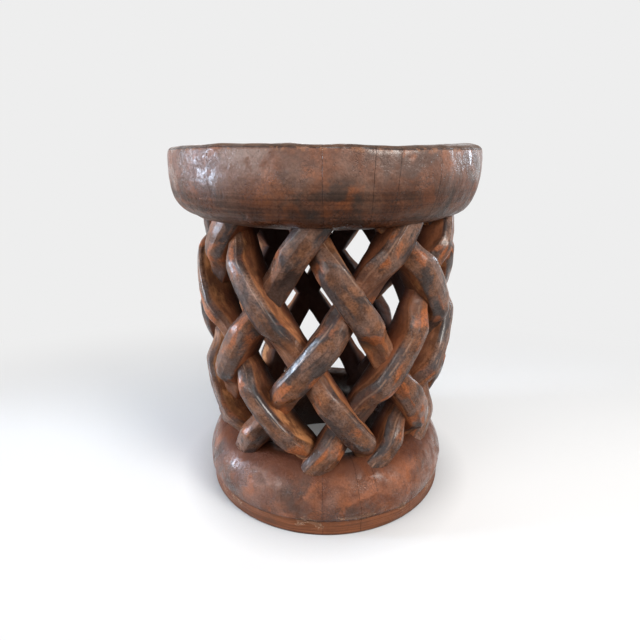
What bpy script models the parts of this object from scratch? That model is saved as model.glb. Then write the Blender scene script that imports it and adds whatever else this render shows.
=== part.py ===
"""A round stool carved in the manner of a plaited basket.

A thick dished seat stands on a barrel of crossing bands, and the bands stand on a fat open ring. Nine bands
lean one way and nine the other. Where two cross, one runs over and the other under, turn about, and each is
notched for the other in a lap joint. Their heads are coped to the seat's underside and their feet to the
ring's shoulder.

Lengths are in metres and +Z is up. The origin is the centre of the ring's underside, on the floor. Angles
run round the stool from -Y towards +X.
"""

import math

import bmesh
import bpy
from mathutils import Vector

# The whole stool
STOOL_HEIGHT = 0.450
JOINT_GAP = 0.0003
CUT_OVERRUN = 0.010
TURNED_SIDES = 48

# The seat: a slab with a fat rounded rim, dished on top around a small flat
SEAT_RADIUS = 0.190
SEAT_THICKNESS = 0.080
DISH_DEPTH = 0.016
DISH_RADIUS = 0.166
DISH_FLAT_RADIUS = 0.045
# Down the rim: shares of the seat's radius and of its thickness
SEAT_RIM_SHARES = (
    (0.955, 0.000),
    (0.982, 0.030),
    (0.996, 0.100),
    (1.000, 0.220),
    (0.998, 0.410),
    (0.982, 0.610),
    (0.940, 0.800),
    (0.868, 0.925),
    (0.750, 1.000),
)
# Across the dish, from its flat to its edge: shares of the way out and of the depth still left
DISH_SHARES = ((0.0, 1.0), (0.25, 0.93), (0.5, 0.74), (0.75, 0.40), (0.92, 0.10))

# The base: a fat ring, open in the middle, cut back to a facet just above the floor
BASE_RADIUS = 0.171
BASE_HEIGHT = 0.086
BASE_HOLE_RADIUS = 0.090
FOOT_CHAMFER = 0.003
# Round the ring from its crest, over the outside, to the top of the facet: shares of the radius and height
BASE_OUTSIDE_SHARES = (
    (0.735, 1.000),
    (0.800, 0.985),
    (0.860, 0.920),
    (0.915, 0.810),
    (0.965, 0.640),
    (1.000, 0.430),
    (0.995, 0.260),
)
# Up the hole, from the floor to the crest: shares of the way out to the crest, and of the height
BASE_HOLE_SHARES = ((0.0, 0.0), (0.02, 0.20), (0.16, 0.55), (0.42, 0.84), (0.70, 0.965))

# The barrel of bands
BANDS_EACH_WAY = 9
BAND_SPACINGS_TURNED = 2
FIRST_CROSSING_ANGLE = math.radians(-8.0)
SEAT_OVERHANG = 0.030
BASE_OVERHANG = 0.0215
BARREL_BULGE = 0.0145
# The first crossings lie this far below the seat's underside, and the last this far below the ring's crest
HEAD_CROSSING_DROP = 0.0043
FOOT_CROSSING_DROP = 0.0068
# The barrel and the ring stand this far to +X of the seat's middle
BARREL_OFFSET = 0.004
# The rows crowd towards the seat by this share of a band's run
CROWDING_SHARE = 0.01

# One band: its wall, how far it dips to pass under, and its faceted section
BAND_WALL = 0.042
WEAVE_STEP = 0.0136
BAND_ROOT_WIDTH = 0.027
BAND_WIDTH = 0.035
BAND_FACE_WIDTH = 0.021
BAND_SHOULDER_DEPTH = 0.005
# Where the slope from the shoulder up to the face breaks: shares of its width and of its depth
BREAK_SHARES = (0.55, 0.70)
# Sections from one row to the next, and how many of them a band overruns its ends and a lap its crossing
ROW_STATIONS = 4
OVERRUN_STATIONS = 2
LAP_STATIONS = 3
# The laps are split on one barrel, this share of the wall out from the hollow
LAP_SHARE = 0.38
LAP_SIDES = 30

# The carver's hand: the heads, and the feet, stand this share of a spacing off their even places
HEAD_DRIFT_SHARES = (0.0, 0.04, -0.02, -0.23, 0.12, 0.18, -0.02, -0.10, -0.07)
FOOT_DRIFT_SHARES = (0.05, -0.11, -0.21, -0.16, -0.04, 0.18, -0.07, 0.13, -0.04)

SEAT_UNDERSIDE = STOOL_HEIGHT - SEAT_THICKNESS
HEAD_CROSSING_HEIGHT = SEAT_UNDERSIDE - HEAD_CROSSING_DROP
FOOT_CROSSING_HEIGHT = BASE_HEIGHT - FOOT_CROSSING_DROP
HEAD_RADIUS = SEAT_RADIUS - SEAT_OVERHANG
FOOT_RADIUS = BASE_RADIUS - BASE_OVERHANG
BAND_SPACING = 2 * math.pi / BANDS_EACH_WAY
# Each band turns two spacings and so crosses its neighbours at five rows, the first and last in the joints
ROWS = 2 * BAND_SPACINGS_TURNED + 1
RUN_STATIONS = ROW_STATIONS * (ROWS - 1)

SEAT_BROWN = (0.115, 0.047, 0.028)
BASE_BROWN = (0.150, 0.060, 0.036)
BAND_BROWN = (0.130, 0.055, 0.034)


def new_collection(name):
    collection = bpy.data.collections.new(name)
    bpy.context.scene.collection.children.link(collection)
    return collection


def new_material(name, colour, roughness):
    material = bpy.data.materials.new(name)
    material.use_nodes = True
    shader = material.node_tree.nodes["Principled BSDF"]
    shader.inputs["Base Color"].default_value = (*colour, 1)
    shader.inputs["Roughness"].default_value = roughness
    shader.inputs["Metallic"].default_value = 0
    return material


def add_object(name, mesh, collection, material=None):
    obj = bpy.data.objects.new(name, mesh)
    collection.objects.link(obj)
    if material:
        mesh.materials.append(material)
        mesh.shade_smooth()
        mesh.set_sharp_from_angle(angle=math.radians(30))
    else:
        obj.hide_render = True
        obj.display_type = "WIRE"
    return obj


def turned(name, outline, collection, material=None, offset=0, sides=TURNED_SIDES):
    """The solid that an outline of (radius, height) points sweeps, given top to bottom down the outside."""
    mesh = bpy.data.meshes.new(name)
    bm = bmesh.new()
    points = [bm.verts.new((radius, 0, height)) for radius, height in outline]
    for here, below in zip(points, points[1:]):
        bm.edges.new((here, below))
    if outline[0][0] > 0:
        bm.edges.new((points[-1], points[0]))
    bm.to_mesh(mesh)
    bm.free()
    obj = add_object(name, mesh, collection, material)
    obj.location.x = offset
    screw = obj.modifiers.new("turn", "SCREW")
    screw.steps = sides
    screw.render_steps = sides
    screw.use_merge_vertices = True
    screw.merge_threshold = 0.0001
    screw.use_smooth_shade = material is not None
    return obj


def seat_outline():
    dish_run = DISH_RADIUS - DISH_FLAT_RADIUS
    dish = [(0, STOOL_HEIGHT - DISH_DEPTH)]
    for out, left in DISH_SHARES:
        dish.append((DISH_FLAT_RADIUS + out * dish_run, STOOL_HEIGHT - left * DISH_DEPTH))
    rim = [(out * SEAT_RADIUS, STOOL_HEIGHT - down * SEAT_THICKNESS) for out, down in SEAT_RIM_SHARES]
    return dish + rim + [(0, SEAT_UNDERSIDE)]


def base_outside():
    return [(out * BASE_RADIUS, up * BASE_HEIGHT) for out, up in BASE_OUTSIDE_SHARES]


def base_outline():
    foot_radius = BASE_RADIUS - FOOT_CHAMFER
    crest_radius = base_outside()[0][0]
    hole = []
    for out, up in BASE_HOLE_SHARES:
        hole.append((BASE_HOLE_RADIUS + out * (crest_radius - BASE_HOLE_RADIUS), up * BASE_HEIGHT))
    return base_outside() + [(foot_radius, 0)] + hole


def seat_cope_outline():
    """The seat's underside and rim, a joint gap larger, so that a band's head stops just short of it."""
    outline = [(0, STOOL_HEIGHT), (SEAT_RADIUS + JOINT_GAP, STOOL_HEIGHT)]
    for out, down in SEAT_RIM_SHARES[3:]:
        outline.append((out * SEAT_RADIUS + JOINT_GAP, STOOL_HEIGHT - down * SEAT_THICKNESS - JOINT_GAP))
    return outline + [(0, SEAT_UNDERSIDE - JOINT_GAP)]


def base_cope_outline():
    """The ring's outside, a joint gap larger and filled to the axis, so that a band's foot stops on it."""
    outline = [(0, BASE_HEIGHT + JOINT_GAP)]
    outline += [(radius + JOINT_GAP, height + JOINT_GAP) for radius, height in base_outside()]
    return outline + [(BASE_RADIUS - FOOT_CHAMFER, 0), (0, 0)]


def barrel_radius(along):
    """The radius over the highest band faces, from 0 at the head crossing to 1 at the foot crossing."""
    return HEAD_RADIUS + along * (FOOT_RADIUS - HEAD_RADIUS) + 4 * BARREL_BULGE * along * (1 - along)


def barrel_height(along):
    down = along - CROWDING_SHARE * (1 - along) * math.sin(2 * math.pi * along)
    return HEAD_CROSSING_HEIGHT + down * (FOOT_CROSSING_HEIGHT - HEAD_CROSSING_HEIGHT)


def lap_barrel_outline(gap):
    """The barrel that parts the lower half of every lap from the upper half."""
    outline = []
    for station in range(-2 * OVERRUN_STATIONS, RUN_STATIONS + 2 * OVERRUN_STATIONS + 1, 2):
        along = station / RUN_STATIONS
        outline.append((barrel_radius(along) - (1 - LAP_SHARE) * BAND_WALL + gap, barrel_height(along)))
    return [(0, outline[0][1]), *outline, (0, outline[-1][1])]


def weave(along):
    """1 where a right-leaning band runs over and -1 where it runs under, flat at both."""
    swing = math.cos(2 * math.pi * BAND_SPACINGS_TURNED * along)
    return swing * (1.5 - 0.5 * swing * swing)


class Band:
    """The path of one band. lean is 1 where the angle grows on the way down, and -1 where it falls."""

    def __init__(self, head, lean):
        foot = head + lean * BAND_SPACINGS_TURNED
        self.lean = lean
        self.head_angle = FIRST_CROSSING_ANGLE + (head + HEAD_DRIFT_SHARES[head]) * BAND_SPACING
        foot_drift = FOOT_DRIFT_SHARES[foot % BANDS_EACH_WAY]
        self.foot_angle = FIRST_CROSSING_ANGLE + (foot + foot_drift) * BAND_SPACING

    def inner_point(self, along):
        angle = self.head_angle + along * (self.foot_angle - self.head_angle)
        radius = barrel_radius(along) - BAND_WALL
        x, y = radius * math.sin(angle), -radius * math.cos(angle)
        return Vector((BARREL_OFFSET + x, y, barrel_height(along)))

    def crest(self, along):
        """How far the outer face stands out from the inner one."""
        over = -self.lean * weave(along)
        return BAND_WALL - WEAVE_STEP * (1 - over) / 2

    def runs_over(self, row):
        return (row % 2 == 0) == (self.lean < 0)

    def frame(self, along):
        """The inner face's middle, and the directions across the band and out of the barrel."""
        step = 1 / (4 * RUN_STATIONS)
        here = self.inner_point(along)
        run = (self.inner_point(along + step) - self.inner_point(along - step)).normalized()
        radial = Vector((here.x - BARREL_OFFSET, here.y, 0)).normalized()
        out = (radial - run * radial.dot(run)).normalized()
        return here, run.cross(out), out


def section_side(crest):
    """Half the faceted section, as (across, out) pairs from the root up to the face."""
    face, shoulder = BAND_FACE_WIDTH / 2, BAND_WIDTH / 2
    break_across, break_out = BREAK_SHARES
    shoulder_out = crest - BAND_SHOULDER_DEPTH
    slope_break = (
        shoulder + (face - shoulder) * break_across,
        shoulder_out + BAND_SHOULDER_DEPTH * break_out,
    )
    return [(BAND_ROOT_WIDTH / 2, 0), (shoulder, shoulder_out), slope_break, (face, crest)]


def both_sides(side):
    return side + [(-across, out) for across, out in reversed(side)]


def band_section(crest):
    return both_sides(section_side(crest))


def lap_section(crest):
    """The same section a joint gap larger and run on into the hollow, for the notch that a band lies in."""
    root, *upper = section_side(crest)
    root_across = root[0] + JOINT_GAP
    grown = [(across + JOINT_GAP, out + JOINT_GAP) for across, out in upper]
    return both_sides([(root_across, -CUT_OVERRUN), (root_across, 0), *grown])


def add_loft(bm, band, section, first, last):
    """Adds a closed loft along the band between two of its stations, in triangles."""
    rings = []
    for station in range(first, last + 1):
        along = station / RUN_STATIONS
        here, across, out = band.frame(along)
        ring = [bm.verts.new(here + across * a + out * o) for a, o in section(band.crest(along))]
        # The two families mirror each other, and so do their triangles.
        rings.append(ring if band.lean > 0 else ring[::-1])
    sides = len(rings[0])
    for upper, lower in zip(rings, rings[1:]):
        for side in range(sides):
            after = (side + 1) % sides
            bm.faces.new((upper[side], upper[after], lower[after]))
            bm.faces.new((upper[side], lower[after], lower[side]))
    bm.faces.new(reversed(rings[0]))
    bm.faces.new(rings[-1])


def finished_mesh(name, bm):
    bmesh.ops.recalc_face_normals(bm, faces=bm.faces)
    mesh = bpy.data.meshes.new(name)
    bm.to_mesh(mesh)
    bm.free()
    return mesh


def apply_boolean(obj, operation, other):
    modifier = obj.modifiers.new(f"{operation.lower()} {other.name}", "BOOLEAN")
    modifier.operation = operation
    modifier.object = other


def lap_cutter(name, crossing_bands, cutters):
    """The bands in (row, band) pairs, each as it lies at its own row."""
    bm = bmesh.new()
    for row, band in crossing_bands:
        middle = row * ROW_STATIONS
        add_loft(bm, band, lap_section, middle - LAP_STATIONS, middle + LAP_STATIONS)
    return add_object(name, finished_mesh(name, bm), cutters)


def make_band(name, band, crossed, tools, parts, cutters, material):
    """One band, notched for the bands it crosses, row by row from the head down, and coped at both ends."""
    bm = bmesh.new()
    add_loft(bm, band, band_section, -OVERRUN_STATIONS, RUN_STATIONS + OVERRUN_STATIONS)
    obj = add_object(name, finished_mesh(name, bm), parts, material)
    passing_over = [(row, other) for row, other in enumerate(crossed) if not band.runs_over(row)]
    passing_under = [(row, other) for row, other in enumerate(crossed) if band.runs_over(row)]
    above = lap_cutter(name + "_laps_above", passing_over, cutters)
    apply_boolean(above, "DIFFERENCE", tools["lap_barrel"])
    below = lap_cutter(name + "_laps_below", passing_under, cutters)
    apply_boolean(below, "INTERSECT", tools["lap_barrel_with_gap"])
    for cutter in (above, below, tools["seat_cope"], tools["base_cope"]):
        apply_boolean(obj, "DIFFERENCE", cutter)


def make_stool():
    for obj in list(bpy.data.objects):
        bpy.data.objects.remove(obj)
    parts = new_collection("bamileke_stool")
    cutters = new_collection("cutters")

    turned("seat", seat_outline(), parts, new_material("seat_wood", SEAT_BROWN, 0.42))
    turned("base_ring", base_outline(), parts, new_material("base_wood", BASE_BROWN, 0.48), BARREL_OFFSET)
    tools = {
        "seat_cope": turned("seat_cope", seat_cope_outline(), cutters),
        "base_cope": turned("base_cope", base_cope_outline(), cutters, None, BARREL_OFFSET),
    }
    for name, gap in (("lap_barrel", 0), ("lap_barrel_with_gap", JOINT_GAP)):
        tools[name] = turned(name, lap_barrel_outline(gap), cutters, None, BARREL_OFFSET, LAP_SIDES)

    count = BANDS_EACH_WAY
    falls_left = [Band(head, -1) for head in range(count)]
    falls_right = [Band(head, 1) for head in range(count)]
    for index in range(count):
        material = new_material(f"right_leaning_wood_{index + 1:02d}", BAND_BROWN, 0.45)
        crossed = [falls_right[(index - row) % count] for row in range(ROWS)]
        name = f"right_leaning_band_{index + 1:02d}"
        make_band(name, falls_left[index], crossed, tools, parts, cutters, material)
        material = new_material(f"left_leaning_wood_{index + 1:02d}", BAND_BROWN, 0.45)
        crossed = [falls_left[(index + row) % count] for row in range(ROWS)]
        name = f"left_leaning_band_{index + 1:02d}"
        make_band(name, falls_right[index], crossed, tools, parts, cutters, material)


make_stool()
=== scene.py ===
import math

import bmesh
import bpy
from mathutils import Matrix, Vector, noise


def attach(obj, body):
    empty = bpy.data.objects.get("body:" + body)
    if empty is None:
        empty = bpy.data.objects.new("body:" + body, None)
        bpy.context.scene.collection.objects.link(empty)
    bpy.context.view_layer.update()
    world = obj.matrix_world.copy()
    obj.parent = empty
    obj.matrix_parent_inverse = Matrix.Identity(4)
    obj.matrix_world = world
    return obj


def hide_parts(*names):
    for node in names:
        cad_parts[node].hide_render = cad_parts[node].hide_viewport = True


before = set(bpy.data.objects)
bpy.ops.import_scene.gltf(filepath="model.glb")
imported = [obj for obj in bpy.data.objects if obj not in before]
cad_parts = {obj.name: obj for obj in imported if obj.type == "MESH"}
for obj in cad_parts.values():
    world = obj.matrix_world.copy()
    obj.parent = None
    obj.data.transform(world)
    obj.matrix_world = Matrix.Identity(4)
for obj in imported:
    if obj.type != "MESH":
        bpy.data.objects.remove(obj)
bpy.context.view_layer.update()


# The floor and the room
# A pale photographer's sweep: white near the stool and pale grey towards the back, with no corner between floor
# and wall. Less of its light reaches the stool than the camera sees, so that the stool's underside keeps its depth.

class Wire:
    """One output of a node. Python's operators on it add Math nodes."""

    def __init__(self, bench, socket):
        self.bench = bench
        self.socket = socket

    def other(self, name):
        """Another output of the same node."""
        return Wire(self.bench, self.socket.node.outputs[name])

    def __add__(self, other):
        return self.bench.maths("ADD", self, other)

    def __sub__(self, other):
        return self.bench.maths("SUBTRACT", self, other)

    def __rsub__(self, other):
        return self.bench.maths("SUBTRACT", other, self)

    def __mul__(self, other):
        return self.bench.maths("MULTIPLY", self, other)

    def __truediv__(self, other):
        return self.bench.maths("DIVIDE", self, other)

    __radd__ = __add__
    __rmul__ = __mul__


class Bench:
    """A node tree, with one method that adds a node to it from its type, its settings and its sockets."""

    def __init__(self, tree):
        self.tree = tree

    def node(self, kind, settings=None, sockets=None):
        node = self.tree.nodes.new(kind)
        for name, value in (settings or {}).items():
            if name == "extra items":
                for _ in range(value):
                    node.index_switch_items.new()
            else:
                setattr(node, name, value)
        for name, value in (sockets or {}).items():
            socket = node.inputs[name]
            if isinstance(value, Wire):
                self.tree.links.new(value.socket, socket)
            elif socket.type == "RGBA":
                socket.default_value = (*value, 1)
            else:
                socket.default_value = value
        shown = [output for output in node.outputs if output.enabled]
        return Wire(self, shown[0]) if shown else None

    def maths(self, operation, *values):
        return self.node("ShaderNodeMath", {"operation": operation}, dict(enumerate(values)))

    def vectors(self, operation, *values):
        return self.node("ShaderNodeVectorMath", {"operation": operation}, dict(enumerate(values)))

    def mix(self, share, first, second, blend="MIX"):
        settings = {"data_type": "RGBA", "blend_type": blend}
        return self.node("ShaderNodeMix", settings, {0: share, 6: first, 7: second})

    def mix_shaders(self, share, first, second):
        return self.node("ShaderNodeMixShader", None, {0: share, 1: first, 2: second})

    def step(self, value, low, high):
        """0 where value is at low and 1 where it is at high, with a soft slope between."""
        return self.node(
            "ShaderNodeMapRange",
            {"interpolation_type": "SMOOTHSTEP"},
            {"Value": value, "From Min": low, "From Max": high},
        )


def new_shader(name):
    material = bpy.data.materials.new(name)
    material.use_nodes = True
    material.node_tree.nodes.clear()
    return material, Bench(material.node_tree)


def put_in_scene(name, data):
    obj = bpy.data.objects.new(name, data)
    bpy.context.scene.collection.objects.link(obj)
    return obj


def seen_directly(bench):
    """1 for what the camera sees, straight, mirrored or through glass, and 0 for the light that the stool gets."""
    path = bench.node("ShaderNodeLightPath")
    direct = bench.maths("MAXIMUM", path.other("Is Camera Ray"), path.other("Is Transmission Ray"))
    return bench.maths("MAXIMUM", direct, path.other("Is Glossy Ray"))


FLOOR_HALF_SIDE = 14.0
FLOOR_DROP = 0.0003
WHITE = (1.0, 1.0, 1.0)
FLOOR_WHITE = (0.905, 0.915, 0.925)
# In the last few centimetres before the stool's foot less of the room reaches the floor, and its colour darkens to
# this: a painted contact shade, driven by ambient occlusion
FLOOR_AT_FOOT = (0.370, 0.405, 0.435)
FOOT_SHADE_REACH = 0.050
FLOOR_SEEN_BY_STOOL = (0.24, 0.22, 0.20)
BACKDROP_GREY = (0.855, 0.855, 0.855)
# Where white turns to grey, and floor to backdrop, in metres from a point on the floor in front of the stool
SWEEP_START = (0, -0.75, 0)
SWEEP_GREYS = (0.55, 1.25)
SWEEP_RISES = (0.80, 1.45)
FLOOR_GLOW_SHARE = 0.08
ROOM_LIGHT = (0.94, 0.96, 1.0)
ROOM_STRENGTH = 0.23

floor_mesh = bpy.data.meshes.new("floor")
bm = bmesh.new()
bmesh.ops.create_grid(bm, x_segments=1, y_segments=1, size=FLOOR_HALF_SIDE)
bmesh.ops.translate(bm, verts=bm.verts, vec=(0, 0, -FLOOR_DROP))
bm.to_mesh(floor_mesh)
bm.free()
floor = put_in_scene("floor", floor_mesh)

floor_paint, bench = new_shader("floor_paint")
place = bench.node("ShaderNodeTexCoord").other("Object")
from_start = bench.vectors("DISTANCE", place, SWEEP_START)
# Painted contact shade: ambient occlusion darkens the floor's colour near the stool's foot
open_share = bench.node("ShaderNodeAmbientOcclusion", {"samples": 16}, {"Distance": FOOT_SHADE_REACH}).other("AO")
floor_tone = bench.mix(open_share, FLOOR_AT_FOOT, FLOOR_WHITE)
lit_floor = bench.node("ShaderNodeBsdfDiffuse", None, {"Color": floor_tone})
sweep_tone = bench.mix(bench.step(from_start, *SWEEP_GREYS), WHITE, BACKDROP_GREY)
glow = bench.node("ShaderNodeEmission", None, {"Color": sweep_tone})
glow_share = FLOOR_GLOW_SHARE + (1.0 - FLOOR_GLOW_SHARE) * bench.step(from_start, *SWEEP_RISES)
pale_floor = bench.mix_shaders(glow_share, lit_floor, glow)
dim_floor = bench.node("ShaderNodeBsdfDiffuse", None, {"Color": FLOOR_SEEN_BY_STOOL})
either_floor = bench.mix_shaders(seen_directly(bench), dim_floor, pale_floor)
bench.node("ShaderNodeOutputMaterial", None, {"Surface": either_floor})
floor_mesh.materials.append(floor_paint)

world = bpy.data.worlds.new("room")
bpy.context.scene.world = world
world.use_nodes = True
world.node_tree.nodes.clear()
bench = Bench(world.node_tree)
room = bench.node("ShaderNodeBackground", None, {"Color": ROOM_LIGHT, "Strength": ROOM_STRENGTH})
backdrop = bench.node("ShaderNodeBackground", None, {"Color": BACKDROP_GREY, "Strength": 1.0})
either_room = bench.mix_shaders(seen_directly(bench), room, backdrop)
bench.node("ShaderNodeOutputWorld", None, {"Surface": either_room})


# The lamps and the camera
# A large soft lamp stands at the right front, two narrow windows draw a cool sheen down the edges, and wide weak
# lamps fill in from above, behind and the left. The camera is level with the seat's rim and looks down at the barrel.

# Each lamp: name, place, the point that it faces, width, height, watts, colour, and spread in degrees
LAMPS = (
    ("main_light", (1.46, -1.40, 1.36), (0, 0, 0.25), 0.80, 0.80, 40.0, (1.00, 0.95, 0.89), 180),
    ("left_window", (-1.50, -0.08, 0.52), (0, 0, 0.33), 0.36, 0.95, 2.9, (0.66, 0.80, 1.00), 42),
    ("right_window", (1.44, 0.70, 0.66), (0, 0, 0.42), 0.20, 0.46, 0.5, (0.74, 0.86, 1.00), 50),
    ("ceiling", (0.30, -0.80, 2.20), (0, 0, 0.30), 1.10, 1.10, 15.0, (1.00, 0.98, 0.96), 180),
    ("back_wall", (-0.35, 1.90, 1.10), (0, 0, 0.25), 1.40, 1.00, 8.0, (0.96, 0.98, 1.00), 180),
    ("left_wall", (-1.40, -1.15, 0.85), (0, 0, 0.30), 1.00, 0.90, 12.0, (1.00, 0.97, 0.95), 180),
)
CAMERA_PLACE = (-0.0045, -0.637, 0.448)
CAMERA_TILT_DOWN = 19.5
CAMERA_LENS = 27

for name, lamp_place, target, width, height, watts, colour, spread in LAMPS:
    light = bpy.data.lights.new(name, "AREA")
    light.shape = "RECTANGLE"
    light.size = width
    light.size_y = height
    light.energy = watts
    light.color = colour
    light.spread = math.radians(spread)
    lamp = put_in_scene(name, light)
    lamp.location = lamp_place
    lamp.rotation_euler = (Vector(target) - Vector(lamp_place)).to_track_quat("-Z", "Y").to_euler()

bpy.context.scene.view_settings.view_transform = "Standard"
lens = bpy.data.cameras.new("camera")
lens.lens = CAMERA_LENS
camera = put_in_scene("camera", lens)
camera.location = CAMERA_PLACE
camera.rotation_euler = (math.radians(90 - CAMERA_TILT_DOWN), 0, 0)
bpy.context.scene.camera = camera


# The base ring
# A fat ring of the same log, open in the middle. Its side is rounded, a low facet runs round the foot, and a nearly
# flat shelf on top carries the bands. It is carved with an adze, then scraped, oiled and worn by handling.

BASE_OFFSET = 0.004
# (radius, height) points. Each run is smoothed through, and the corner between two runs stays crisp
BASE_SHOULDER = ((0.1257, 0.0860), (0.1368, 0.0847), (0.1471, 0.0791), (0.1565, 0.0697), (0.1650, 0.0550),
                 (0.1708, 0.0390), (0.1707, 0.0242))
BASE_FACET = ((0.1707, 0.0242), (0.1690, 0.0222), (0.1686, 0.0120), (0.1678, 0.0010), (0.1670, 0.0))
BASE_UNDERSIDE = ((0.1670, 0.0), (0.1300, 0.0), (0.0900, 0.0))
BASE_HOLE = ((0.0900, 0.0), (0.0907, 0.0172), (0.0957, 0.0473), (0.1050, 0.0722), (0.1150, 0.0830),
             (0.1257, 0.0860))
BASE_FACET_TOP = 0.0224
BASE_ADZE_DEPTH = 0.0025
BASE_SIDES = 300
BASE_BUMP = 0.0009
BASE_TONES = {
    "dark": (0.138, 0.050, 0.027),
    "brown": (0.215, 0.084, 0.045),
    "rust": (0.300, 0.106, 0.050),
    "soot": (0.074, 0.046, 0.037),
    "bloom": (0.215, 0.130, 0.105),
    "facet dark": (0.140, 0.050, 0.024),
    "facet brown": (0.280, 0.106, 0.050),
    "facet edge": (0.060, 0.030, 0.020),
    "foot grime and contact shade": (0.040, 0.021, 0.014),
    "crack": (0.030, 0.016, 0.011),
    "chip": (0.240, 0.130, 0.080),
    "chip rim": (0.520, 0.340, 0.230),
    "hole": (0.020, 0.009, 0.006),
    "shelf": (0.090, 0.027, 0.012),
}
# The finish that all the pieces share
PIT_TONE = (0.020, 0.012, 0.010)
CRACKLE_TONE = (0.030, 0.018, 0.014)
GRAIN_SHADES = ((0.66, 0.63, 0.60), (1.20, 1.20, 1.20))
VARNISH_ROUGHNESS = 0.22
WOOD_SPECULAR = 0.16
# How a turned outline is cut up, and the sizes of the waves and hollows that the adze leaves in it
OUTLINE_SPACING = 0.0026
ON_AXIS = 1e-6
WAVES_PER_METRE = 9
RIPPLES_PER_METRE = 26
HOLLOW_SIZE = 0.034


def smooth_run(points, spacing):
    """Points at about this spacing on a smooth curve through the given ones, without the last."""
    points = [Vector(point) for point in points]
    before = [2 * points[0] - points[1], *points, 2 * points[-1] - points[-2]]
    run = []
    for index in range(1, len(points)):
        a, b, c, d = before[index - 1:index + 3]
        pieces = max(1, round((c - b).length / spacing))
        for piece in range(pieces):
            t = piece / pieces
            run.append(0.5 * (2 * b + (c - a) * t + (2 * a - 5 * b + 4 * c - d) * t ** 2
                              + (3 * b - a - 3 * c + d) * t ** 3))
    return run


def adze_mark(place):
    """How far hand carving leaves a point above or below the turned shape, as a share of the adze's depth."""
    wave = 0.55 * noise.noise(place * WAVES_PER_METRE)
    ripple = 0.30 * noise.noise(place * RIPPLES_PER_METRE + Vector((3, 1, 7)))
    nearest = noise.voronoi((place + Vector((0.31, 0.17, 0.05))) / HOLLOW_SIZE)[0][0]
    hollow = max(0.0, 1 - nearest * nearest)
    return wave + ripple + 0.70 * (0.5 - hollow)


def ramp_up(value, low, high):
    """0 up to low, 1 from high on, and a soft slope between."""
    share = min(1.0, max(0.0, (value - low) / (high - low)))
    return share * share * (3 - 2 * share)


def carve_round(name, runs, offset, sides, depth, still, lift=None):
    """A turned outline, carved by hand. It stays true where still(point) is 0, and lift(point, turn) raises a point.

    An outline that starts on the axis ends there too. The level attribute keeps each point's height before lift."""
    outline = [point for run in runs for point in smooth_run(run, OUTLINE_SPACING)]
    starts_on_axis = outline[0].x < ON_AXIS
    if starts_on_axis:
        outline.append(Vector(runs[-1][-1]))
    bm = bmesh.new()
    level = bm.verts.layers.float.new("level")
    rings = []
    for index, point in enumerate(outline):
        along = outline[(index + 1) % len(outline)] - outline[index - 1]
        out = Vector((-along.y, along.x)).normalized() if point.x > ON_AXIS else Vector((0, 1))
        ring = []
        for side in range(sides if point.x > ON_AXIS else 1):
            turn = 2 * math.pi * side / sides
            flat = Vector((math.sin(turn), -math.cos(turn), 0))
            here = flat * point.x + Vector((0, 0, point.y))
            amount = depth * adze_mark(here) * still(here)
            raised = Vector((0, 0, lift(here, turn))) if lift else Vector()
            vert = bm.verts.new(here + raised + (flat * out.x + Vector((0, 0, out.y))) * amount)
            vert[level] = point.y
            ring.append(vert)
        rings.append(ring)
    pairs = list(zip(rings, rings[1:]))
    if not starts_on_axis:
        pairs.append((rings[-1], rings[0]))
    for upper, lower in pairs:
        for side in range(sides):
            after = (side + 1) % sides
            corners = [upper[side % len(upper)], upper[after % len(upper)],
                       lower[after % len(lower)], lower[side % len(lower)]]
            bm.faces.new(list(dict.fromkeys(corners)))
    bmesh.ops.translate(bm, verts=bm.verts, vec=offset)
    bmesh.ops.recalc_face_normals(bm, faces=bm.faces)
    for face in bm.faces:
        face.smooth = True
    mesh = bpy.data.meshes.new(name)
    bm.to_mesh(mesh)
    bm.free()
    return put_in_scene(name, mesh)


def wood_start(name):
    """A new wood material, and the place on the piece that its patterns follow."""
    material, bench = new_shader(name)
    return material, bench.node("ShaderNodeTexCoord").other("Object")


def patches(place, scale, detail=3.0, roughness=0.55, distortion=0.0):
    """Soft noise round a half, with this many patches to the metre."""
    sockets = {"Vector": place, "Scale": scale, "Detail": detail, "Roughness": roughness, "Distortion": distortion}
    return place.bench.node("ShaderNodeTexNoise", None, sockets)


def shifted(place, shift):
    return place.bench.vectors("ADD", place, shift)


def scaled(place, scale):
    return place.bench.vectors("MULTIPLY", place, scale)


def split(vector):
    """The three parts of a vector."""
    east = vector.bench.node("ShaderNodeSeparateXYZ", None, {0: vector})
    return east, east.other("Y"), east.other("Z")


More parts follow.
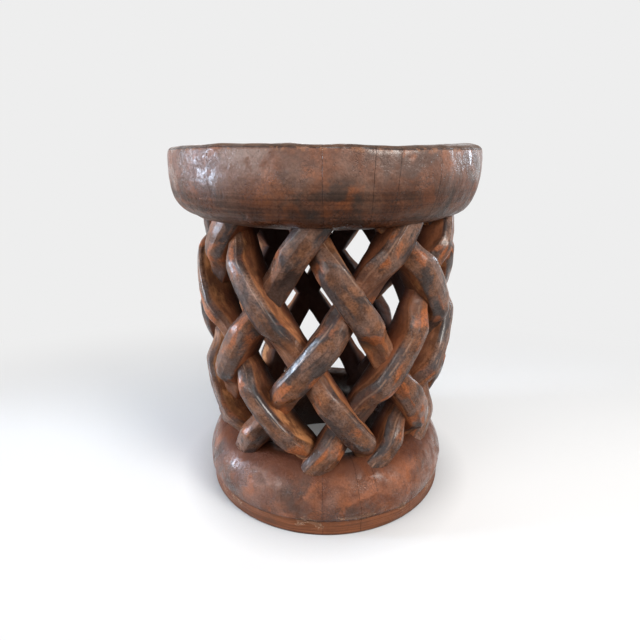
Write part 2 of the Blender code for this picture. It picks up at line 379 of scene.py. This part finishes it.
def patina(place, tones, patch_scale, rust_bias=0.0, soot_and_shade_bias=0.0, speckle=1.0, streaked=None):
    """Old oiled hardwood: brown mottling, a dull bloom, soot, which its bias can also spread as painted shade, rust
    where it is worn, pits and fine crackle.

    Returns its colour, its roughness, its height for the bump, and the varnish: 1 where it is left, 0 where not."""
    bench = place.bench
    streaked = streaked or place
    mottle = patches(place, 42.0, 5.0, 0.62, 0.4)
    ripple = patches(place, 165.0, 2.0, 0.5)
    fine = patches(place, 420.0, 3.0, 0.62)
    colour = bench.mix(bench.step(mottle, 0.40, 0.60), tones["dark"], tones["brown"])
    bloom = bench.step(patches(shifted(place, (0, 5.3, 0)), patch_scale * 0.7, 4.0, 0.55, 0.3), 0.44, 0.60)
    colour = bench.mix(bloom * 0.50, colour, tones["bloom"])
    soot = patches(shifted(streaked, (0, 0, 7.7)), patch_scale * 0.9, 4.0, 0.58, 0.5)
    soot = bench.step(soot + 0.12 * (mottle - 0.5) + soot_and_shade_bias, 0.52, 0.66)
    colour = bench.mix(soot * 0.82, colour, tones["soot"])
    rust = patches(shifted(streaked, (3.1, 0, 0)), patch_scale, 3.5, 0.52, 0.8)
    rust = bench.step(rust + 0.16 * (mottle - 0.5) + rust_bias, 0.53, 0.69)
    colour = bench.mix(rust * 0.85, colour, tones["rust"])
    shade = bench.mix(bench.step(fine, 0.34, 0.62), *GRAIN_SHADES)
    colour = bench.mix(speckle, colour, shade, "MULTIPLY")
    pits = bench.node("ShaderNodeTexVoronoi", None, {"Vector": place, "Scale": 330.0})
    pits = (1.0 - bench.step(pits, 0.10, 0.34)) * bench.step(ripple, 0.50, 0.62)
    colour = bench.mix(pits * speckle * 0.55, colour, PIT_TONE)
    bend = scaled(patches(place, 90.0).other("Color"), (0.012, 0.012, 0.012))
    bent = bench.vectors("ADD", place, bend)
    cells = bench.node("ShaderNodeTexVoronoi", {"feature": "DISTANCE_TO_EDGE"}, {"Vector": bent, "Scale": 240.0})
    crackle = (1.0 - bench.step(cells, 0.01, 0.12)) * bench.step(patches(place, 28.0, 2.0), 0.47, 0.60)
    colour = bench.mix(crackle * 0.45, colour, CRACKLE_TONE)
    varnish = bench.step(patches(shifted(place, (0, 2.2, 4.4)), 58.0, 5.0, 0.66, 0.5), 0.43, 0.56)
    rough = 0.42 - 0.16 * varnish + 0.20 * (fine - 0.5) + 0.14 * rust + 0.08 * bloom
    height = 0.30 * fine + 0.85 * ripple + 1.1 * mottle - 0.35 * pits - 0.25 * crackle
    return colour, rough, height, varnish


def wood_finish(colour, rough, coat, height, bump_depth):
    bench = colour.bench
    bump = bench.node("ShaderNodeBump", None, {"Strength": 1.0, "Distance": bump_depth, "Height": height})
    shader = bench.node("ShaderNodeBsdfPrincipled", None, {
        "Base Color": colour, "Roughness": rough, "Specular IOR Level": WOOD_SPECULAR,
        "Coat Weight": coat, "Coat Roughness": VARNISH_ROUGHNESS, "Normal": bump,
    })
    bench.node("ShaderNodeOutputMaterial", None, {"Surface": shader})


def drying_checks(place, count, width):
    """Hairline cracks that run up the wood round the stool: 1 in a crack and 0 beside it."""
    bench = place.bench
    east, north, up = split(place)
    turn = bench.maths("ARCTAN2", east, north * -1.0) * (count / (2 * math.pi))
    turn = turn + patches(scaled(place, (1.0, 1.0, 0.6)), 6.0, 2.0) * 1.1
    which = bench.maths("FLOOR", turn)
    pick = bench.node("ShaderNodeTexWhiteNoise", {"noise_dimensions": "1D"}, {"W": which})
    aside = bench.maths("ABSOLUTE", bench.maths("FRACT", turn) - 0.5)
    line = 1.0 - bench.step(aside, 0.0, width)
    column = bench.node("ShaderNodeCombineXYZ", None, {"X": which * 3.7, "Y": up * 16.0})
    spans = bench.node("ShaderNodeTexNoise", {"noise_dimensions": "2D"},
                       {"Vector": column, "Scale": 1.0, "Detail": 1.0})
    return line * bench.step(pick, 0.25, 0.45) * bench.step(spans, 0.36, 0.5)


base_wood, place = wood_start("base_wood")
bench = place.bench
colour, rough, height, varnish = patina(place, BASE_TONES, 19.0, soot_and_shade_bias=0.01, speckle=0.5)
_, _, up = split(place)
wobble = patches(place, 30.0)
from_axis = bench.vectors("DISTANCE", scaled(place, (1.0, 1.0, 0.0)), (BASE_OFFSET, 0, 0))
outside = bench.step(from_axis, 0.112, 0.135)
# The facet round the foot, with a dark line along its edge, and dirt with a painted contact shade where it meets the
# floor
near_facet = up + 0.005 * wobble - BASE_FACET_TOP
facet = outside * (1.0 - bench.step(near_facet, 0.001, 0.003))
lines = patches(scaled(place, (9.0, 9.0, 420.0)), 1.0, 2.0)
facet_tone = bench.mix(bench.step(lines, 0.40, 0.60), BASE_TONES["facet dark"], BASE_TONES["facet brown"])
colour = bench.mix(facet * 0.75, colour, facet_tone)
edge_line = outside * (1.0 - bench.step(bench.maths("ABSOLUTE", near_facet - 0.002), 0.0003, 0.0014))
edge_line = edge_line * bench.step(lines, 0.45, 0.55) * bench.step(patches(place, 21.0, 3.0), 0.40, 0.58)
colour = bench.mix(edge_line * 0.60, colour, BASE_TONES["facet edge"])
# Dirt and a painted contact shade darken the last few millimetres above the floor
foot_dirt_and_shade = outside * (1.0 - bench.step(up, 0.0008, 0.0042))
colour = bench.mix(foot_dirt_and_shade * 0.60, colour, BASE_TONES["foot grime and contact shade"])
cracks = drying_checks(place, 44, 0.012)
colour = bench.mix(cracks * 0.75, colour, BASE_TONES["crack"])
# Flakes have come off along the facet's edge, and their rims are raw
flaked = patches(shifted(scaled(place, (1.0, 1.0, 1.8)), (1.7, 2.2, 0)), 26.0, 4.0, 0.60)
near_edge = outside * bench.step(up, 0.006, 0.014) * (1.0 - bench.step(up, 0.026, 0.032))
chips = bench.step(flaked, 0.58, 0.60) * near_edge
chip_rims = (1.0 - bench.step(bench.maths("ABSOLUTE", flaked - 0.58), 0.002, 0.010)) * near_edge
colour = bench.mix(chips * 0.60, colour, BASE_TONES["chip"])
colour = bench.mix(chip_rims * 0.80, colour, BASE_TONES["chip rim"])
# The hole is painted near-black as shade, and the shelf under the bands is darker, matt and red
colour = bench.mix((1.0 - outside) * 0.92, colour, BASE_TONES["hole"])
shelf = bench.step(up + 0.012 * wobble, 0.068, 0.084) * outside
colour = bench.mix(shelf * 0.72, colour, BASE_TONES["shelf"])
rough = rough - 0.05 + 0.19 * facet + 0.37 * shelf
waves = patches(shifted(scaled(place, (1.0, 1.0, 1.6)), (0, 0, 9.1)), 24.0, 1.5, 0.4)
height = height + 4.0 * waves * (1.0 - facet) + 0.5 * lines * facet - 1.2 * chips - 1.2 * cracks
coat = 0.48 * varnish * (1.0 - facet) * (1.0 - shelf)
wood_finish(colour, rough, coat, height, BASE_BUMP)

base_ring = carve_round(
    "turned_base_ring", (BASE_SHOULDER, BASE_FACET, BASE_UNDERSIDE, BASE_HOLE), (BASE_OFFSET, 0, 0), BASE_SIDES,
    BASE_ADZE_DEPTH, lambda here: ramp_up(here.z, 0.0005, 0.006),
)
base_ring.data.materials.append(base_wood)
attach(base_ring, "root")
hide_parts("base_ring")


# The woven bands
# Eighteen bands of the same log join the ring to the seat, nine leaning each way. Each one dips under every second
# band that it meets, as in a plaited basket. They are cut with a chisel, with a ridge along the upper side that
# carries a painted highlight line, and are varnished on the outer face and bare on the sides.

BANDS_EACH_WAY = 9
BAND_SPACING = 2 * math.pi / BANDS_EACH_WAY
SPACINGS_TURNED = 2
FIRST_CROSSING_ANGLE = math.radians(-8.0)
# Each head, and each foot, stands this share of a spacing off its even place, as the carver left it
HEAD_DRIFTS = (0.0, 0.04, -0.02, -0.23, 0.12, 0.18, -0.02, -0.10, -0.07)
FOOT_DRIFTS = (0.05, -0.11, -0.21, -0.16, -0.04, 0.18, -0.07, 0.13, -0.04)
BAND_SIZES = {
    "Stool Offset": BASE_OFFSET,
    "Head Radius": 0.160,
    "Foot Radius": 0.1495,
    "Bulge": 0.0145,
    "Head Height": 0.3657,
    "Foot Height": 0.0792,
    "Crowding": 0.01,
    "Overrun": 0.115,
    "Wall": 0.042,
    "Dip": 0.0155,
    "Sunk Swing": -1.05,
    "Risen Swing": 0.20,
    "Plumpness": 0.07,
    "Nose Roundness": 0.50,
    "Nose Taper": 0.26,
    "Root Width": 0.029,
    "Lower Side": 0.0188,
    "Lower Face": 0.0085,
    "Lower Shoulder": 0.0075,
    "Face Crown": 0.0016,
    "Ridge Softness": 0.0014,
    "Shoulder Softness": 0.0060,
    "Wander": 0.0014,
    "Chisel Depth": 0.0014,
}
BAND_STATIONS = 150
BAND_BUMP = 0.0007
# The bands that climb to the right have a broad bevel along the upper edge and darker sides, painted shade for sides
# turned from the main lamp, and the others come to a sharp ridge and have paler sides, painted light for sides turned
# to it
RIGHT_BAND_EDGE = {"Upper Face": 0.0104, "Upper Side": 0.0166, "Upper Shoulder": 0.0060}
RIGHT_BAND_SHADED_SIDES = ((0.130, 0.050, 0.022), (0.300, 0.116, 0.052))
LEFT_BAND_EDGE = {"Upper Face": 0.0134, "Upper Side": 0.0148, "Upper Shoulder": 0.0028}
LEFT_BAND_LIT_SIDES = ((0.190, 0.074, 0.030), (0.570, 0.252, 0.102))
# Each family: its bands' name, which way they lean, their slot, their upper edge and the tones of their sides,
# painted lit or shaded
FAMILIES = (
    ("right_leaning_band", -1, "right_band_wood", RIGHT_BAND_EDGE, RIGHT_BAND_SHADED_SIDES),
    ("left_leaning_band", 1, "left_band_wood", LEFT_BAND_EDGE, LEFT_BAND_LIT_SIDES),
)
BAND_TONES = {
    "dark": (0.086, 0.038, 0.021),
    "brown": (0.205, 0.090, 0.046),
    "rust": (0.370, 0.116, 0.040),
    "soot": (0.030, 0.025, 0.025),
    "bloom": (0.225, 0.140, 0.110),
    "ridge": (0.044, 0.043, 0.048),
    "painted_ridge_highlight": (0.360, 0.215, 0.145),
    "blush": (0.290, 0.098, 0.046),
    "grime": (0.082, 0.032, 0.016),
    "recess_shade": (0.150, 0.042, 0.018),
    "deep_shade": (0.012, 0.003, 0.002),
}


def band_tree():
    """The tree that turns a band's sizes into its carved mesh."""
    tree = bpy.data.node_groups.new("woven_band", "GeometryNodeTree")
    face = tree.interface
    for name in ("Head Angle", "Foot Angle", "Lean", *BAND_SIZES, *RIGHT_BAND_EDGE):
        face.new_socket(name, in_out="INPUT", socket_type="NodeSocketFloat")
    face.new_socket("Stations", in_out="INPUT", socket_type="NodeSocketInt")
    face.new_socket("Wood", in_out="INPUT", socket_type="NodeSocketMaterial")
    face.new_socket("Geometry", in_out="OUTPUT", socket_type="NodeSocketGeometry")
    bench = Bench(tree)
    given = bench.node("NodeGroupInput")

    def size(name):
        return given.other(name)

    def placed(geometry, place):
        return bench.node("GeometryNodeSetPosition", None, {"Geometry": geometry, "Position": place})

    def marked(geometry, name, value, kind="FLOAT"):
        settings = {"data_type": kind, "domain": "POINT"}
        return bench.node("GeometryNodeStoreNamedAttribute", settings,
                          {"Geometry": geometry, "Name": name, "Value": value})

    def mark(name, kind="FLOAT"):
        return bench.node("GeometryNodeInputNamedAttribute", {"data_type": kind}, {"Name": name})

    def joined(x, y, z):
        return bench.node("ShaderNodeCombineXYZ", None, {"X": x, "Y": y, "Z": z})

    def times(vector, amount):
        return bench.node("ShaderNodeVectorMath", {"operation": "SCALE"}, {0: vector, "Scale": amount})

    # The band's path up the barrel, through the middle of its inner face
    steps = bench.node("GeometryNodeInputIndex") / (size("Stations") - 1.0)
    along = steps * (1.0 + 2.0 * size("Overrun")) - size("Overrun")
    angle = size("Head Angle") + along * (size("Foot Angle") - size("Head Angle"))
    bow = 4.0 * size("Bulge") * along * (1.0 - along)
    radius = size("Head Radius") + along * (size("Foot Radius") - size("Head Radius")) + bow - size("Wall")
    down = along - size("Crowding") * (1.0 - along) * bench.maths("SINE", 2 * math.pi * along)
    path = joined(
        size("Stool Offset") + radius * bench.maths("SINE", angle),
        radius * bench.maths("COSINE", angle) * -1.0,
        size("Head Height") + down * (size("Foot Height") - size("Head Height")),
    )
    line = bench.node("GeometryNodeMeshLine", None, {"Count": size("Stations")})
    line = marked(line, "along", along)
    rail = bench.node("GeometryNodeMeshToCurve", None, {"Mesh": placed(line, path)})
    rail = marked(rail, "middle", bench.node("GeometryNodeInputPosition"), "FLOAT_VECTOR")
    rail = marked(rail, "heading", bench.node("GeometryNodeInputTangent"), "FLOAT_VECTOR")

    # The section, as a closed outline of (across, out) points. Its crisp ridge is on the side that faces up
    upper_first = (1.0 - size("Lean")) / 2.0

    def on_side(name, sign):
        share = upper_first if sign > 0 else 1.0 - upper_first
        return size("Lower " + name) + share * (size("Upper " + name) - size("Lower " + name))

    def half_section(sign):
        return [
            joined(sign * size("Root Width") / 2.0, 0.0, 0.0),
            joined(sign * on_side("Side", sign), size("Wall") - on_side("Shoulder", sign), 0.0),
            joined(sign * on_side("Face", sign), size("Wall"), 0.0),
        ]

    crown = joined(0.0, size("Wall") + size("Face Crown"), 0.0)
    corners = [*half_section(1.0), crown, *reversed(half_section(-1.0))]
    choice = bench.node("GeometryNodeIndexSwitch", {"data_type": "VECTOR", "extra items": len(corners) - 2},
                        dict(enumerate([bench.node("GeometryNodeInputIndex"), *corners])))
    outline = bench.node("GeometryNodeMeshLine", None, {"Count": len(corners)})
    outline = bench.node("GeometryNodeMeshToCurve", None, {"Mesh": placed(outline, choice)})
    outline = bench.node("GeometryNodeSetSplineCyclic", None, {"Geometry": outline, "Cyclic": True})
    _, corner_out, _ = split(bench.node("GeometryNodeInputPosition"))
    shoulder_out = size("Wall") - size("Lower Shoulder")
    on_face = bench.step(corner_out, size("Wall") - size("Upper Shoulder") + 0.0002, size("Wall"))
    softness = size("Shoulder Softness") + on_face * (size("Ridge Softness") - size("Shoulder Softness"))
    outline = bench.node("GeometryNodeFilletCurve", {"mode": "POLY"},
                         {"Curve": outline, "Count": 3, "Radius": softness, "Limit Radius": True})
    outline = bench.node("GeometryNodeSubdivideCurve", None, {"Curve": outline, "Cuts": 2})
    outline = marked(outline, "profile", bench.node("GeometryNodeInputPosition"), "FLOAT_VECTOR")

    # The band: the outline at every station, sunk and narrowed where it runs under
    band = bench.node("GeometryNodeCurveToMesh", None, {"Curve": rail, "Profile Curve": outline, "Fill Caps": True})
    middle, heading = mark("middle", "FLOAT_VECTOR"), mark("heading", "FLOAT_VECTOR")
    east, north, _ = split(middle)
    radial = bench.vectors("NORMALIZE", joined(east - size("Stool Offset"), north, 0.0))
    lean_in = times(heading, bench.vectors("DOT_PRODUCT", radial, heading))
    outward = bench.vectors("NORMALIZE", bench.vectors("SUBTRACT", radial, lean_in))
    sideways = bench.vectors("CROSS_PRODUCT", heading, outward)
    across, out, _ = split(mark("profile", "FLOAT_VECTOR"))
    off_middle = across / size("Lower Side")
    swing = bench.maths("COSINE", 2 * math.pi * SPACINGS_TURNED * mark("along"))
    swing = size("Lean") * -1.0 * swing - size("Nose Roundness") * off_middle * off_middle
    over = bench.step(swing, size("Sunk Swing"), size("Risen Swing")) * (1.0 - size("Plumpness") * (1.0 - swing))
    share_out = bench.maths("MINIMUM", out / shoulder_out, 1.0)
    face_share = bench.step(out, shoulder_out, size("Wall"))
    edge = off_middle * size("Lean") * -1.0
    grain = joined(across, out, mark("along") * 0.36 + size("Head Angle") * 3.0)
    wobble = patches(bench.vectors("ADD", middle, joined(0.0, 0.0, edge * 0.02)), 24.0, 1.0)
    across = across * (1.0 - size("Nose Taper") * (1.0 - over) * face_share)
    across = across + size("Wander") * (wobble - 0.5) * 2.0 * share_out
    out = out - size("Dip") * (1.0 - over) * share_out
    surface = bench.vectors("ADD", middle, times(sideways, across))
    surface = bench.vectors("ADD", surface, times(outward, out))
    band = marked(band, "over", over)
    band = marked(band, "grain", grain, "FLOAT_VECTOR")
    band = marked(band, "edge", edge)
    band = marked(band, "depth", share_out)
    band = placed(band, surface)

    # The chisel's marks
    here = bench.node("GeometryNodeInputPosition")
    marks = patches(here, 38.0, 2.0, 0.5) - 0.5
    cuts = bench.node("ShaderNodeTexVoronoi", {"feature": "SMOOTH_F1"},
                      {"Vector": here, "Scale": 55.0, "Smoothness": 0.25})
    relief = size("Chisel Depth") * (marks * 1.3 + cuts * 0.5 - 0.25)
    nudge = times(bench.node("GeometryNodeInputNormal"), relief)
    band = bench.node("GeometryNodeSetPosition", None, {"Geometry": band, "Offset": nudge})
    for name in ("middle", "heading", "profile"):
        band = bench.node("GeometryNodeRemoveAttribute", None, {"Geometry": band, "Name": name})
    # The sweep leaves the faces pointing inwards
    band = bench.node("GeometryNodeFlipFaces", None, {"Mesh": band})
    band = bench.node("GeometryNodeSetShadeSmooth", None, {"Geometry": band})
    band = bench.node("GeometryNodeRealizeInstances", None, {"Geometry": band})
    band = bench.node("GeometryNodeSetMaterial", None, {"Geometry": band, "Material": size("Wood")})
    bench.node("NodeGroupOutput", None, {"Geometry": band})
    return tree


def band_wood(name, side_tones):
    """A band's wood: varnished on the outer face, bare on the sides, and painted darker towards the barrel's hollow
    and near-black far inside it, as shade.
    """
    material, place = wood_start(name)
    bench = place.bench

    def mark(name, output="Fac"):
        return bench.node("ShaderNodeAttribute", {"attribute_name": name}).other(output)

    # The edge runs from -1 at the band's lower side to 1 at its upper side, the depth from 0 at the barrel's hollow
    # to 1 at the shoulders, and over from 0 where the band runs under to 1 where it runs over
    edge, depth, over, grain = mark("edge"), mark("depth"), mark("over"), mark("grain", "Vector")
    nose = bench.step(over, 0.25, 0.60) * (1.0 - bench.step(over, 0.80, 0.97))
    low = 1.0 - bench.step(over, 0.05, 0.45)
    lower_side = 1.0 - bench.step(edge, -0.75, -0.10)
    streaked = scaled(grain, (1.0, 1.0, 0.5))
    broad = patches(streaked, 17.0, 2.0)
    # Rubbed to rust just before it dips, and darker, with soot and painted shade, where it goes under and along the
    # lower side
    rust_bias = 0.12 * nose + 0.5 * (broad - 0.5) - 0.04
    soot_and_shade_bias = 0.07 * low + 0.15 * lower_side - 0.5 * (broad - 0.5) - 0.01
    colour, rough, height, varnish = patina(place, BAND_TONES, 52.0, rust_bias, soot_and_shade_bias, streaked=streaked)

    wall = 1.0 - bench.step(depth, 0.90, 0.995)
    # Dark streaks along the ridge, with a blue-grey tint that is painted sheen
    ridge = bench.step(edge, 0.40, 0.62) * (1.0 - bench.step(edge, 0.84, 0.94)) * (1.0 - wall)
    streaks = bench.step(patches(scaled(grain, (1.0, 1.0, 0.3)), 46.0, 3.0), 0.44, 0.58)
    colour = bench.mix(ridge * streaks * 0.70, colour, BAND_TONES["ridge"])
    # Painted highlight: a pale line along the ridge that stands in for the glint of the lamps
    painted_ridge_highlight = bench.step(edge, 0.57, 0.62) * (1.0 - bench.step(edge, 0.64, 0.69)) * (1.0 - wall)
    painted_ridge_highlight = painted_ridge_highlight * bench.step(patches(grain, 70.0, 2.0), 0.42, 0.58)
    colour = bench.mix(painted_ridge_highlight * 0.55, colour, BAND_TONES["painted_ridge_highlight"])

    # The bare sides take their family's tones, painted light or painted shade
    bare = patches(scaled(grain, (1.0, 1.0, 0.4)), 95.0, 5.0, 0.66)
    sides = bench.mix(bench.step(bare, 0.40, 0.58), *side_tones)
    blush = bench.step(patches(streaked, 19.0, 3.0), 0.42, 0.60)
    sides = bench.mix(blush * 0.55, sides, BAND_TONES["blush"])
    grime = patches(shifted(scaled(grain, (1.0, 1.0, 0.6)), (0, 3.3, 0)), 34.0, 5.0, 0.66)
    sides = bench.mix(bench.step(grime, 0.48, 0.62) * 0.68, sides, BAND_TONES["grime"])
    # Painted shade: the sides darken towards the barrel's hollow, and deep inside the wood goes near-black
    recess_shade = 1.0 - bench.step(depth, 0.30, 0.85)
    sides = bench.mix(recess_shade * 0.70, sides, BAND_TONES["recess_shade"])
    tip = (1.0 - bench.step(over, 0.10, 0.62)) * bench.step(broad, 0.30, 0.60)
    colour = bench.mix(tip * 0.40, colour, sides)
    colour = bench.mix(wall * 0.88, colour, sides)
    deep_shade = 1.0 - bench.step(depth, 0.06, 0.68)
    colour = bench.mix(deep_shade * 0.90, colour, BAND_TONES["deep_shade"])

    rough = rough + 0.26 * wall + 0.16 * tip - 0.08 * ridge
    coat = (0.05 + 0.25 * varnish + 0.18 * ridge) * (1.0 - wall) * bench.step(over, 0.20, 0.75)
    wood_finish(colour, rough, coat, height + 1.2 * bare * wall, BAND_BUMP)
    return material


woven_band = band_tree()
socket_of = {item.name: item.identifier for item in woven_band.interface.items_tree if item.in_out == "INPUT"}
for family, lean, slot, upper_edge, side_tones in FAMILIES:
    wood = band_wood(slot, side_tones)
    for head in range(BANDS_EACH_WAY):
        foot = head + lean * SPACINGS_TURNED
        node = f"{family}_{head + 1:02d}"
        values = {
            "Head Angle": FIRST_CROSSING_ANGLE + (head + HEAD_DRIFTS[head]) * BAND_SPACING,
            "Foot Angle": FIRST_CROSSING_ANGLE + (foot + FOOT_DRIFTS[foot % BANDS_EACH_WAY]) * BAND_SPACING,
            "Lean": float(lean), **BAND_SIZES, **upper_edge, "Stations": BAND_STATIONS, "Wood": wood,
        }
        blank = put_in_scene("blank", bpy.data.meshes.new("blank"))
        modifier = blank.modifiers.new("woven band", "NODES")
        modifier.node_group = woven_band
        for name, value in values.items():
            modifier[socket_of[name]] = value
        bpy.context.view_layer.update()
        carved = blank.evaluated_get(bpy.context.evaluated_depsgraph_get())
        band = put_in_scene("carved_" + node, bpy.data.meshes.new_from_object(carved))
        bpy.data.objects.remove(blank)
        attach(band, "root")
        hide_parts(node)


# The seat
# A thick round slab of the log's end, dished on top by use and carving. Its side is full and rounded, a narrow lip
# runs round the top edge, and fine drying checks run down it. It is blackened and oiled, then worn to brown.

SEAT_DISH = ((0.0, 0.4340), (0.0450, 0.4340), (0.0752, 0.4351), (0.1055, 0.4382), (0.1357, 0.4436),
             (0.1563, 0.4484), (0.1660, 0.4500))
SEAT_LIP = ((0.1660, 0.4500), (0.1760, 0.4504), (0.1840, 0.4496), (0.1879, 0.4468))
SEAT_SIDE = ((0.1879, 0.4468), (0.1892, 0.4425), (0.1900, 0.4324), (0.1896, 0.4172), (0.1866, 0.4012),
             (0.1786, 0.3860), (0.1649, 0.3760), (0.1425, 0.3703))
SEAT_BOTTOM = ((0.1425, 0.3703), (0.1000, 0.3700), (0.0500, 0.3700), (0.0, 0.3700))
SEAT_LIP_FOOT = 0.4468
SEAT_ADZE_DEPTH = 0.0026
SEAT_SIDES = 320
SEAT_BUMP = 0.0008
SEAT_TONES = {
    "dark": (0.112, 0.044, 0.023),
    "brown": (0.195, 0.077, 0.040),
    "rust": (0.310, 0.108, 0.044),
    "soot": (0.056, 0.041, 0.035),
    "bloom": (0.215, 0.140, 0.110),
    "upper": (0.270, 0.170, 0.142),
    "crack": (0.020, 0.012, 0.010),
    "grime": (0.062, 0.030, 0.019),
    "polish": (0.250, 0.112, 0.062),
    "lip dark": (0.045, 0.025, 0.015),
    "lip brown": (0.095, 0.053, 0.032),
    "groove": (0.022, 0.012, 0.009),
    "chip": (0.330, 0.160, 0.090),
}
# The two shades that darken the lower side, mixed by its faint lines: painted shade
LOWER_SHADES = ((0.37, 0.33, 0.29), (0.73, 0.67, 0.61))
# The rim was left uneven. Each hump: its height, where it is as a turn from the front, and how narrow it is
RIM_RISE = 0.0022
RIM_HUMPS = ((0.0022, math.radians(-22), 0.70), (0.0032, math.radians(108), 0.75))

seat_wood, place = wood_start("seat_wood")
bench = place.bench
colour, rough, height, varnish = patina(place, SEAT_TONES, 23.0, rust_bias=-0.03, soot_and_shade_bias=0.015, speckle=0.7)
_, _, up = split(place)
# The side is paler and greyer towards the top, partly bloom and partly painted light, and painted darker below as
# shade, with faint tool lines
upper = bench.step(up + 0.016 * patches(place, 12.0), 0.408, 0.438)
colour = bench.mix(upper * 0.26, colour, SEAT_TONES["upper"])
lines = patches(scaled(place, (7.0, 7.0, 260.0)), 1.0, 2.0)
lower_shade = bench.mix(bench.step(lines, 0.36, 0.62), *LOWER_SHADES)
colour = bench.mix(1.0 - upper, colour, bench.mix(1.0, colour, lower_shade, "MULTIPLY"))
cracks = drying_checks(place, 50, 0.012)
colour = bench.mix(cracks * 0.80, colour, SEAT_TONES["crack"])
# The dish is polished in the middle, with a darker ring round its rim, grime and painted shade that shows the hollow
worn = patches(place, 60.0, 4.0, 0.6)
level = bench.node("ShaderNodeAttribute", {"attribute_name": "level"}).other("Fac")
from_axis = bench.vectors("LENGTH", scaled(place, (1.0, 1.0, 0.0)))
outer = bench.step(from_axis, 0.172, 0.184)
in_dish = bench.step(level, 0.428, 0.432) * (1.0 - outer)
grime = bench.step(from_axis + 0.030 * (worn - 0.5), 0.112, 0.168) * in_dish
colour = bench.mix(grime * 0.75, colour, SEAT_TONES["grime"])
polish = (1.0 - bench.step(from_axis + 0.05 * (worn - 0.5), 0.040, 0.120)) * in_dish
colour = bench.mix(polish * 0.40, colour, SEAT_TONES["polish"])
# The lip, with a dark groove at its foot and chips below it
above_groove = level - (SEAT_LIP_FOOT + 0.0012 * (worn - 0.5))
lip = bench.step(above_groove, 0.0, 0.0012) * outer
lip_tone = bench.mix(bench.step(worn, 0.4, 0.6), SEAT_TONES["lip dark"], SEAT_TONES["lip brown"])
colour = bench.mix(lip * 0.85, colour, lip_tone)
groove = outer * (1.0 - bench.step(bench.maths("ABSOLUTE", above_groove), 0.0003, 0.0011))
colour = bench.mix(groove * 0.80, colour, SEAT_TONES["groove"])
flaking = patches(place, 170.0, 3.0, 0.6) + 0.6 * (patches(place, 16.0, 1.0) - 0.5)
chips = bench.step(flaking, 0.54, 0.60) * bench.step(level + 0.004 * worn, 0.4445, 0.4470) * outer * (1.0 - lip)
colour = bench.mix(chips * 0.60, colour, SEAT_TONES["chip"])
rough = rough - 0.05 * upper + 0.15 * lip
dimples = patches(place, 125.0, 3.0, 0.5)
waves = patches(shifted(place, (0, 0, 9.1)), 26.0, 1.5, 0.4)
height = height + 2.2 * waves + 1.5 * dimples * upper + 0.25 * lines * (1.0 - upper) - 1.2 * cracks - 0.8 * groove
coat = 0.54 * varnish * upper * (1.0 - lip)
wood_finish(colour, rough, coat, height, SEAT_BUMP)


def rim_wave(here, turn):
    """How far the rim stands above its turned height."""
    wave = RIM_RISE
    for hump, centre, narrowness in RIM_HUMPS:
        wave += hump * ramp_up(math.cos(turn - centre), narrowness, 1.0)
    return wave * ramp_up(here.z, 0.425, 0.446) * ramp_up(math.hypot(here.x, here.y), 0.110, 0.165)


seat = carve_round(
    "dished_seat", (SEAT_DISH, SEAT_LIP, SEAT_SIDE, SEAT_BOTTOM), (0, 0, 0), SEAT_SIDES, SEAT_ADZE_DEPTH,
    lambda here: ramp_up(here.z, 0.3702, 0.376), rim_wave,
)
seat.data.materials.append(seat_wood)
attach(seat, "root")
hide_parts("seat")
